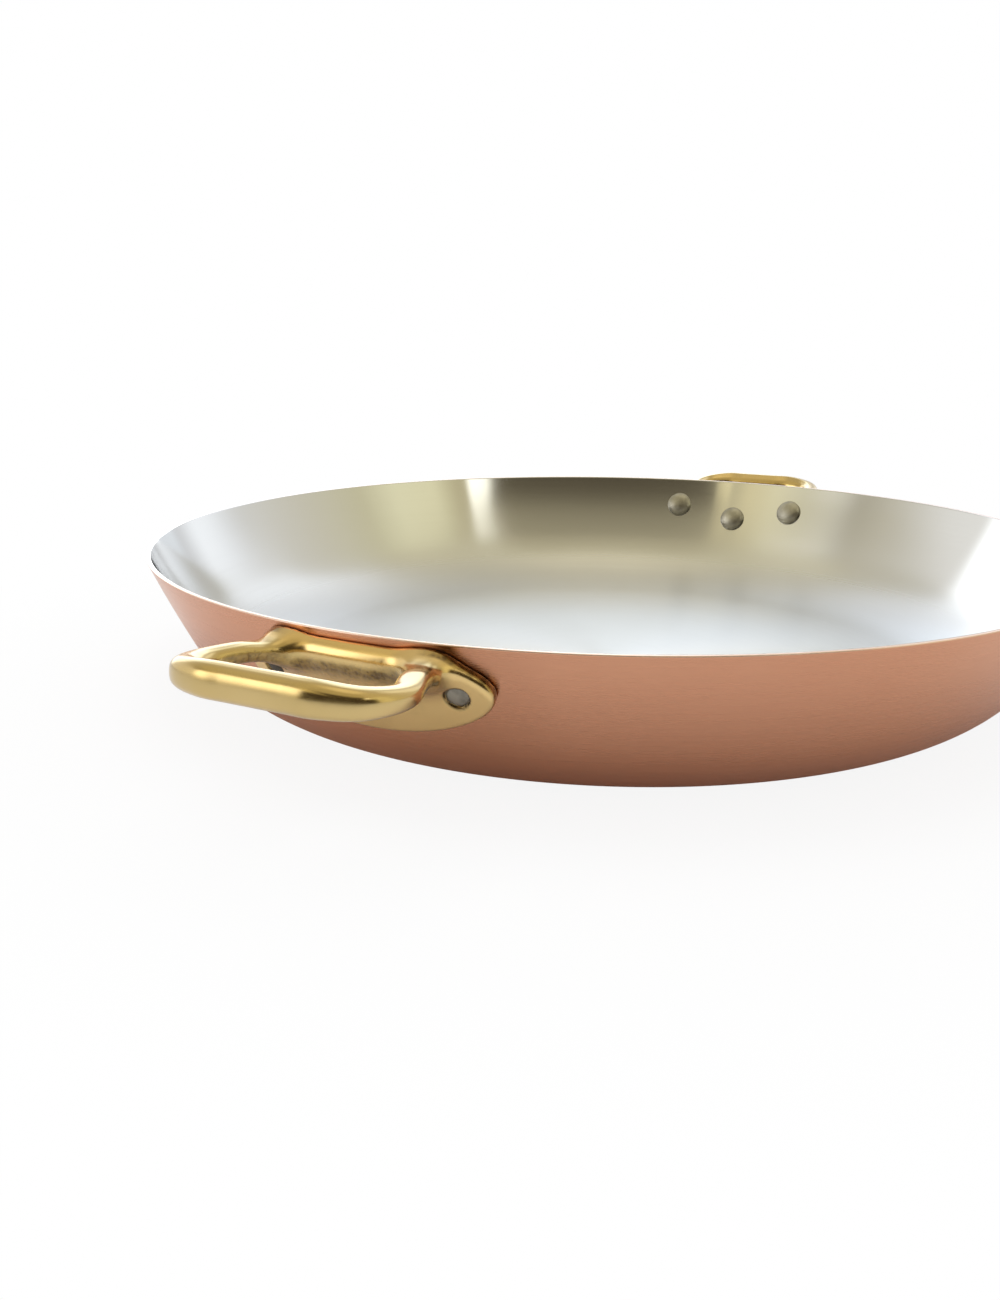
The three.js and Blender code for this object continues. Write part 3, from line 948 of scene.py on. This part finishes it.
# Dark and pale browns: patina in the hollow, and painted shade along the wall, round the rivet tails and on
# the arms' inner sides
STAIN_SHADE_BROWN = (0.12, 0.07, 0.017, 1)
PALE_STAIN_SHADE_BROWN = (0.40, 0.255, 0.065, 1)
EDGE_SHADE_SHARE = 0.9
GRIME_SHADE_LOSS = 0.85
HOLLOW_ROUGHNESS = 0.2
WAVE_RELIEF = 0.35
CAST_DEPTH = 0.0004


def cast_brass():
    """Polished brass, rough and brown in the hollow behind the loop, with painted shade along the wall, in
    the rivet recesses and on the arms' inner sides, and a plate face painted lighter.
    """
    material, tree, shader = new_material("cast_brass")
    place = object_place(tree)
    hollow = point_share(tree, "hollow")
    grain = noise(tree, place, 600.0, roughness=0.55)
    blotch = noise(tree, place, 170.0, detail=4.0, roughness=0.6)
    wave = noise(tree, place, 45.0, detail=2.0)
    dirt = product(tree, hollow, remap(tree, blotch, (0.36, 0.62), (0.7, 1.0)))
    # Painted shade along the wall and in the rivet recesses
    edge = product(tree, point_share(tree, "edge_and_recess_shade"), EDGE_SHADE_SHARE)
    polished = blend(tree, remap(tree, wave, (0.3, 0.7)), BRASS, DEEP_BRASS)
    # The plate's face painted lighter
    polished = blend(tree, point_share(tree, "plate"), polished, LIT_PLATE_BRASS)
    # Fewer pale spots where dirty and in the painted shade of the rivet recesses
    clean = calc(tree, "MULTIPLY_ADD", point_share(tree, "grime_and_shade"), -GRIME_SHADE_LOSS, 1.0)
    pale_spots = product(tree, remap(tree, grain, (0.34, 0.64)), clean)
    stain_and_shade_colour = blend(tree, pale_spots, STAIN_SHADE_BROWN, PALE_STAIN_SHADE_BROWN)
    # Patina in the hollow and painted shade at the wall, in the recesses and on the arms, in the same
    # browns
    colour = blend(tree, calc(tree, "MAXIMUM", dirt, edge), polished, stain_and_shade_colour)
    smooth = remap(tree, blotch, (0.3, 0.7), (0.19, 0.25))
    rough = calc(tree, "MULTIPLY_ADD", hollow, HOLLOW_ROUGHNESS, smooth)
    pits = product(tree, remap(tree, grain, (0.3, 0.6)), hollow)
    relief = calc(tree, "MULTIPLY_ADD", wave, WAVE_RELIEF, pits)
    finish_metal(tree, shader, colour, rough, relief, strength=0.4, depth=CAST_DEPTH)
    shader.inputs["Coat Weight"].default_value = 0.6
    shader.inputs["Coat Roughness"].default_value = 0.12
    return material


# Steel of the rivets
HEAD_STEEL = (0.52, 0.50, 0.43, 1)
DULL_HEAD_STEEL = (0.42, 0.40, 0.34, 1)
TAIL_STEEL = (0.33, 0.31, 0.26, 1)
DULL_TAIL_STEEL = (0.23, 0.215, 0.18, 1)
TAIL_SHADE = (0.03, 0.024, 0.016, 1)
TAIL_SHADE_SHARE = 0.75
SCRATCH_DEPTH = 0.0001


def rivet_steel():
    """Plain steel with fine scratches and dull specks. The tails outside are darker, and the back tails
    darker still with painted shade.
    """
    material, tree, shader = new_material("rivet_steel")
    place = object_place(tree)
    tail = point_share(tree, "tail")
    speck = noise(tree, place, 1500.0, detail=4.0, roughness=0.6)
    clouds = remap(tree, noise(tree, place, 260.0), (0.35, 0.65))
    head_colour = blend(tree, clouds, HEAD_STEEL, DULL_HEAD_STEEL)
    tail_colour = blend(tree, clouds, TAIL_STEEL, DULL_TAIL_STEEL)
    # Painted shade on the back tails
    grime_and_shade = remap(tree, tail, (PLAIN_TAIL, SHADED_TAIL), (0.0, TAIL_SHADE_SHARE))
    tail_colour = blend(tree, grime_and_shade, tail_colour, TAIL_SHADE)
    colour = blend(tree, tail, head_colour, tail_colour)
    rough = remap(tree, speck, (0.3, 0.7), (0.36, 0.48))
    finish_metal(tree, shader, colour, rough, speck, strength=0.2, depth=SCRATCH_DEPTH)
    return material


shell.data.materials.append(copper)
lining.data.materials.append(steel)
brass = cast_brass()
for piece in handles:
    piece.data.materials.append(brass)
rivet_look = rivet_steel()
for piece in rivets:
    piece.data.materials.append(rivet_look)


# Camera, where the photograph was taken from, in metres and radians. The heading is about the pan's axis.

FOCAL_PIXELS = 1147.9
LONG_SIDE_PIXELS = 1300.0
SENSOR = 36.0
NEAREST_SEEN = 0.01
VIEW_HEADING = radians(292.72)
CAMERA_DISTANCE = 0.45017
CAMERA_HEIGHT = 0.13143
CAMERA_PAN = 0.0947461
CAMERA_TILT = 0.2764435
CAMERA_ROLL = 0.0049017
camera_data = bpy.data.cameras.new("photo_camera")
camera_data.sensor_width = SENSOR
camera_data.lens = FOCAL_PIXELS / LONG_SIDE_PIXELS * SENSOR
camera_data.clip_start = NEAREST_SEEN
camera = bpy.data.objects.new("photo_camera", camera_data)
bpy.context.scene.collection.objects.link(camera)
bpy.context.scene.camera = camera
view_turn = Matrix.Rotation(VIEW_HEADING, 4, "Z")
aim = Matrix.Rotation(CAMERA_PAN, 4, "Z") @ Matrix.Rotation(pi / 2 - CAMERA_TILT, 4, "X")
aim = aim @ Matrix.Rotation(CAMERA_ROLL, 4, "Z")
camera.matrix_world = view_turn @ Matrix.Translation((0, -CAMERA_DISTANCE, CAMERA_HEIGHT)) @ aim


# Studio: white floor, white surround, soft box overhead, and a room that only the metal shows. In metres.

WHITE = (1, 1, 1, 1)
FLOOR_SIZE = 6.0
FLOOR_PAINT = (0.92, 0.92, 0.92, 1)
SHADOW_ENDS = (0.16, 0.32)
NEAR_WHITENESS = 0.9
FILL_STRENGTH = 0.55
SOFT_BOX_SIZE = 1.4
SOFT_BOX_HEIGHT = 1.5
SOFT_BOX_GLOW = 1.9


def emission(tree, colour):
    return add_node(tree, "ShaderNodeEmission", {"Color": colour, "Strength": 1.0}).outputs[0]


def seen_ray(tree, *names):
    """1 for rays of the named kinds."""
    rays = add_node(tree, "ShaderNodeLightPath")
    total = rays.outputs[names[0]]
    for name in names[1:]:
        total = calc(tree, "MAXIMUM", total, rays.outputs[name])
    return total


def add_stage(name, points, faces, material):
    mesh = bpy.data.meshes.new(name)
    mesh.from_pydata(points, [], faces)
    mesh.materials.append(material)
    placed = bpy.data.objects.new(name, mesh)
    bpy.context.scene.collection.objects.link(placed)
    return placed


def floor_material():
    """White floor that keeps the shadow near the pan and fades to plain white further out."""
    material, tree, shader = new_material("studio_floor")
    tree.nodes.remove(shader)
    distance = vector_length(tree, object_place(tree))
    fade = remap(tree, distance, SHADOW_ENDS, (NEAR_WHITENESS, 1.0))
    share = product(tree, fade, seen_ray(tree, "Is Camera Ray"))
    paint = add_node(tree, "ShaderNodeBsdfDiffuse", {"Color": FLOOR_PAINT}).outputs[0]
    mixed = add_node(tree, "ShaderNodeMixShader", {0: share, 1: paint, 2: emission(tree, WHITE)})
    tree.links.new(mixed.outputs[0], tree.nodes["Material Output"].inputs["Surface"])
    return material


floor_corners = [(-FLOOR_SIZE, -FLOOR_SIZE, 0), (FLOOR_SIZE, -FLOOR_SIZE, 0),
                 (FLOOR_SIZE, FLOOR_SIZE, 0), (-FLOOR_SIZE, FLOOR_SIZE, 0)]
add_stage("studio_floor", floor_corners, [(0, 1, 2, 3)], floor_material())

world = bpy.data.worlds.new("studio")
bpy.context.scene.world = world
world.use_nodes = True
sky = world.node_tree
backdrop = sky.nodes["Background"]
backdrop.inputs["Color"].default_value = WHITE
white_rays = seen_ray(sky, "Is Camera Ray", "Is Glossy Ray", "Is Transmission Ray")
sky.links.new(remap(sky, white_rays, (0.0, 1.0), (FILL_STRENGTH, 1.0)), backdrop.inputs["Strength"])

soft_box = bpy.data.lights.new("soft_box", "AREA")
soft_box.shape = "SQUARE"
soft_box.size = SOFT_BOX_SIZE
soft_box.energy = SOFT_BOX_GLOW * pi * SOFT_BOX_SIZE**2
soft_box_lamp = bpy.data.objects.new("soft_box", soft_box)
soft_box_lamp.location = (0, 0, SOFT_BOX_HEIGHT)
soft_box_lamp.visible_glossy = False
bpy.context.scene.collection.objects.link(soft_box_lamp)


# The room. Bearings are in degrees, anticlockwise as seen from above, from straight behind the camera or
# from straight ahead of it. Rises are in degrees above the floor.


class Side(NamedTuple):
    """A panel's side: its bearing at a rise, and how far it leans for each degree of rise up to a limit."""

    bearing: float
    at_rise: float = 0.0
    lean: float = 0.0
    limit: float = 90.0


class Fade(NamedTuple):
    """A panel's strength below and above a stretch of rise."""

    start: float
    end: float
    below: float = 1.0
    above: float = 0.0


class Panel(NamedTuple):
    """A lit or dark place between two sides. Its fades bow down beside the middle bearing."""

    colour: tuple
    start: Side
    end: Side
    soft: float
    fades: tuple = ()
    ahead: bool = False
    bow: float = 0.0


ROOM_RADIUS = 9.0
ROOM_BEARINGS = range(-180, 181, 4)
ROOM_RISES = range(0, 91, 3)
ROOM_SPREAD = 150
ROOM_TONES = [
    (-150, (0.80, 0.81, 0.82)),
    (-126, (0.66, 0.62, 0.50)),
    (-96, (0.60, 0.55, 0.41)),
    (-84, (0.50, 0.46, 0.34)),
    (-66, (0.67, 0.61, 0.38)),
    (-57, (0.88, 0.80, 0.50)),
    (-48, (0.88, 0.77, 0.45)),
    (-43, (0.68, 0.60, 0.36)),
    (-32, (0.58, 0.515, 0.33)),
    (40, (0.58, 0.515, 0.33)),
    (54, (0.62, 0.55, 0.33)),
    (62, (0.92, 0.86, 0.55)),
    (76, (0.93, 0.88, 0.58)),
    (88, (0.70, 0.65, 0.43)),
    (110, (0.73, 0.69, 0.56)),
    (128, (0.79, 0.77, 0.70)),
    (150, (0.80, 0.81, 0.82)),
]

# The ceiling is darker behind the camera, starts higher beyond the pan, and is brightest overhead
CEILING = (0.70, 0.635, 0.43, 1)
CEILING_RISES = (38.0, 47.0)
NEAR_CEILING = (0.59, 0.525, 0.335, 1)
NEAR_CEILING_BAND = (-50, 50, 15)
FAR_CEILING = (0.64, 0.60, 0.48, 1)
FAR_CEILING_RISES = (47.5, 62.5)
FAR_CEILING_BAND = (-70, 70, 20)
ZENITH = (1.06, 0.96, 0.69, 1)
ZENITH_RISES = (68.0, 82.0)

# A window at the left, the dark behind the camera, and beyond the pan pale panels, lights and a shade
WINDOW_COLOUR = (0.98, 0.96, 0.90, 1)
DARK_COLOUR = (0.05, 0.036, 0.02, 1)
PANEL_COLOUR = (1.18, 1.21, 1.23, 1)
BACK_LIGHT_COLOUR = (1.95, 2.2, 2.5, 1)
LOW_LIGHT_COLOUR = (2.1, 2.15, 2.16, 1)
SHADE_COLOUR = (0.86, 0.90, 0.93, 1)
WALL_PANELS = [
    Panel(WINDOW_COLOUR, Side(-135), Side(-56), soft=5, fades=(Fade(23, 31),)),
    Panel(DARK_COLOUR, Side(-55), Side(58), soft=4, fades=(Fade(23, 31),)),
    Panel(PANEL_COLOUR, Side(-21.5, lean=-1.1, limit=27), Side(-21), soft=6, ahead=True),
    Panel(PANEL_COLOUR, Side(24), Side(41), soft=7, ahead=True),
    Panel(BACK_LIGHT_COLOUR, Side(-6), Side(13), soft=4, fades=(Fade(28, 42, above=0.6),), ahead=True),
    Panel(LOW_LIGHT_COLOUR, Side(-10), Side(50), soft=4, fades=(Fade(20, 30),), ahead=True),
    Panel(SHADE_COLOUR, Side(-15), Side(-1), soft=2.5, fades=(Fade(4.5, 8.5),), ahead=True),
]

# A dark screen that ends at a bright strip, and a small lit patch on its other side
SCREEN_COLOUR = (0.065, 0.05, 0.03, 1)
STRIP_COLOUR = (2.1, 2.05, 1.75, 1)
PATCH_COLOUR = (1.12, 0.97, 0.55, 1)
SCREEN_START = Side(-36, at_rise=38, lean=-1.6)
STRIP_START = Side(41.5, at_rise=37.5, lean=1.15)
STRIP_END = Side(49.9, at_rise=37.5, lean=0.2)
FOOT_FADE = Fade(28, 34, below=0, above=1)
STRIP_FADES = (FOOT_FADE, Fade(37.2, 41.2, above=0.25), Fade(43, 46.5))
CEILING_PANELS = [
    Panel(SCREEN_COLOUR, SCREEN_START, STRIP_START, soft=2.2, fades=(Fade(41.7, 47.4),), bow=0.0018),
    Panel(STRIP_COLOUR, STRIP_START, STRIP_END, soft=1.3, fades=STRIP_FADES),
    Panel(PATCH_COLOUR, Side(-41.5), Side(-36.8), soft=0.8, fades=(FOOT_FADE, Fade(38.3, 40.3))),
]

# A soft light at the left, seen in the handle's bar
SIDE_LIGHT_BEARING = -66.0
SIDE_LIGHT_RISE = 18.0
SIDE_LIGHT_WIDTHS = (4.0, 20.0)
SIDE_LIGHT_HEIGHTS = (8.0, 17.0)
SIDE_LIGHT_COLOUR = (2.4, 2.36, 2.25, 1)


def soft_band(tree, value, low, high, soft):
    """1 between two values, with soft edges."""
    start = remap(tree, calc(tree, "SUBTRACT", value, low), (-soft, soft))
    end = remap(tree, calc(tree, "SUBTRACT", high, value), (-soft, soft))
    return product(tree, start, end)


class RoomPaint:
    """The room's colour, with one thing after another painted over it."""

    def __init__(self, tree):
        self.tree = tree
        _, across, x, y, z = place_parts(tree)
        self.bearing = self.angle(x, product(tree, y, -1.0))
        self.ahead = self.angle(product(tree, x, -1.0), y)
        self.rise = self.angle(z, across)
        self.tone = self.wall_tone()

    def angle(self, first, second):
        return calc(self.tree, "DEGREES", calc(self.tree, "ARCTAN2", first, second))

    def wall_tone(self):
        """The walls' tones all the way round."""
        place = calc(self.tree, "MULTIPLY_ADD", self.bearing, 0.5 / ROOM_SPREAD, 0.5)
        ramp = add_node(self.tree, "ShaderNodeValToRGB", {"Fac": place})
        stops = ramp.color_ramp.elements
        while len(stops) < len(ROOM_TONES):
            stops.new(0.5)
        for stop, (angle, colour) in zip(stops, ROOM_TONES):
            stop.position = 0.5 + 0.5 * angle / ROOM_SPREAD
            stop.color = (*colour, 1)
        return ramp.outputs["Color"]

    def cover(self, share, colour):
        self.tone = blend(self.tree, share, self.tone, colour)

    def side_bearing(self, side):
        """Bearing of a panel's side at each rise."""
        if side.lean == 0:
            return side.bearing
        rise = calc(self.tree, "MINIMUM", self.rise, side.limit)
        return calc(self.tree, "MULTIPLY_ADD", rise, side.lean, side.bearing - side.lean * side.at_rise)

    def add_panel(self, panel):
        turn = self.ahead if panel.ahead else self.bearing
        start, end = self.side_bearing(panel.start), self.side_bearing(panel.end)
        share = soft_band(self.tree, turn, start, end, panel.soft)
        rise = self.rise
        if panel.bow:
            rise = calc(self.tree, "MULTIPLY_ADD", product(self.tree, turn, turn), panel.bow, rise)
        for fade in panel.fades:
            strength = remap(self.tree, rise, (fade.start, fade.end), (fade.below, fade.above))
            share = product(self.tree, share, strength)
        self.cover(share, panel.colour)

    def add_ceiling(self):
        tree = self.tree
        far = soft_band(tree, self.ahead, *FAR_CEILING_BAND)
        colour = blend(tree, soft_band(tree, self.bearing, *NEAR_CEILING_BAND), CEILING, NEAR_CEILING)
        colour = blend(tree, far, colour, FAR_CEILING)
        colour = blend(tree, remap(tree, self.rise, ZENITH_RISES), colour, ZENITH)
        rises = [calc(tree, "MULTIPLY_ADD", far, there - here, here)
                 for here, there in zip(CEILING_RISES, FAR_CEILING_RISES)]
        self.cover(remap(tree, self.rise, rises), colour)

    def add_side_light(self):
        tree = self.tree
        beside = calc(tree, "ABSOLUTE", calc(tree, "SUBTRACT", self.bearing, SIDE_LIGHT_BEARING))
        above = calc(tree, "ABSOLUTE", calc(tree, "SUBTRACT", self.rise, SIDE_LIGHT_RISE))
        width = remap(tree, beside, SIDE_LIGHT_WIDTHS, (1.0, 0.0))
        height = remap(tree, above, SIDE_LIGHT_HEIGHTS, (1.0, 0.0))
        self.cover(product(tree, width, height), SIDE_LIGHT_COLOUR)


# The room glows though it is no lamp: its walls, ceiling, panels and lights are painted light, seen only in
# reflections.
def room_material():
    """A dark studio straight behind the camera, warm walls beside it, a lit ceiling, and lit panels."""
    material, tree, shader = new_material("studio_room")
    tree.nodes.remove(shader)
    paint = RoomPaint(tree)
    for panel in WALL_PANELS:
        paint.add_panel(panel)
    paint.add_ceiling()
    for panel in CEILING_PANELS:
        paint.add_panel(panel)
    paint.add_side_light()
    tree.links.new(emission(tree, paint.tone), tree.nodes["Material Output"].inputs["Surface"])
    return material


def add_room():
    """Half a large sphere over the pan, seen in reflections only."""
    points = []
    for bearing in ROOM_BEARINGS:
        for rise in ROOM_RISES:
            b, e = radians(bearing), radians(rise)
            direction = np.array([sin(b) * cos(e), -cos(b) * cos(e), sin(e)])
            points.append((ROOM_RADIUS * direction).tolist())
    rows = len(ROOM_RISES)
    faces = []
    for i in range(len(ROOM_BEARINGS) - 1):
        for j in range(rows - 1):
            corner = i * rows + j
            faces.append((corner, corner + rows, corner + rows + 1, corner + 1))
    placed = add_stage("studio_room", points, faces, room_material())
    placed.matrix_world = view_turn
    placed.visible_camera = False
    placed.visible_diffuse = False
    placed.visible_shadow = False


add_room()

bpy.context.scene.view_settings.view_transform = "Standard"

bpy.context.view_layer.update()
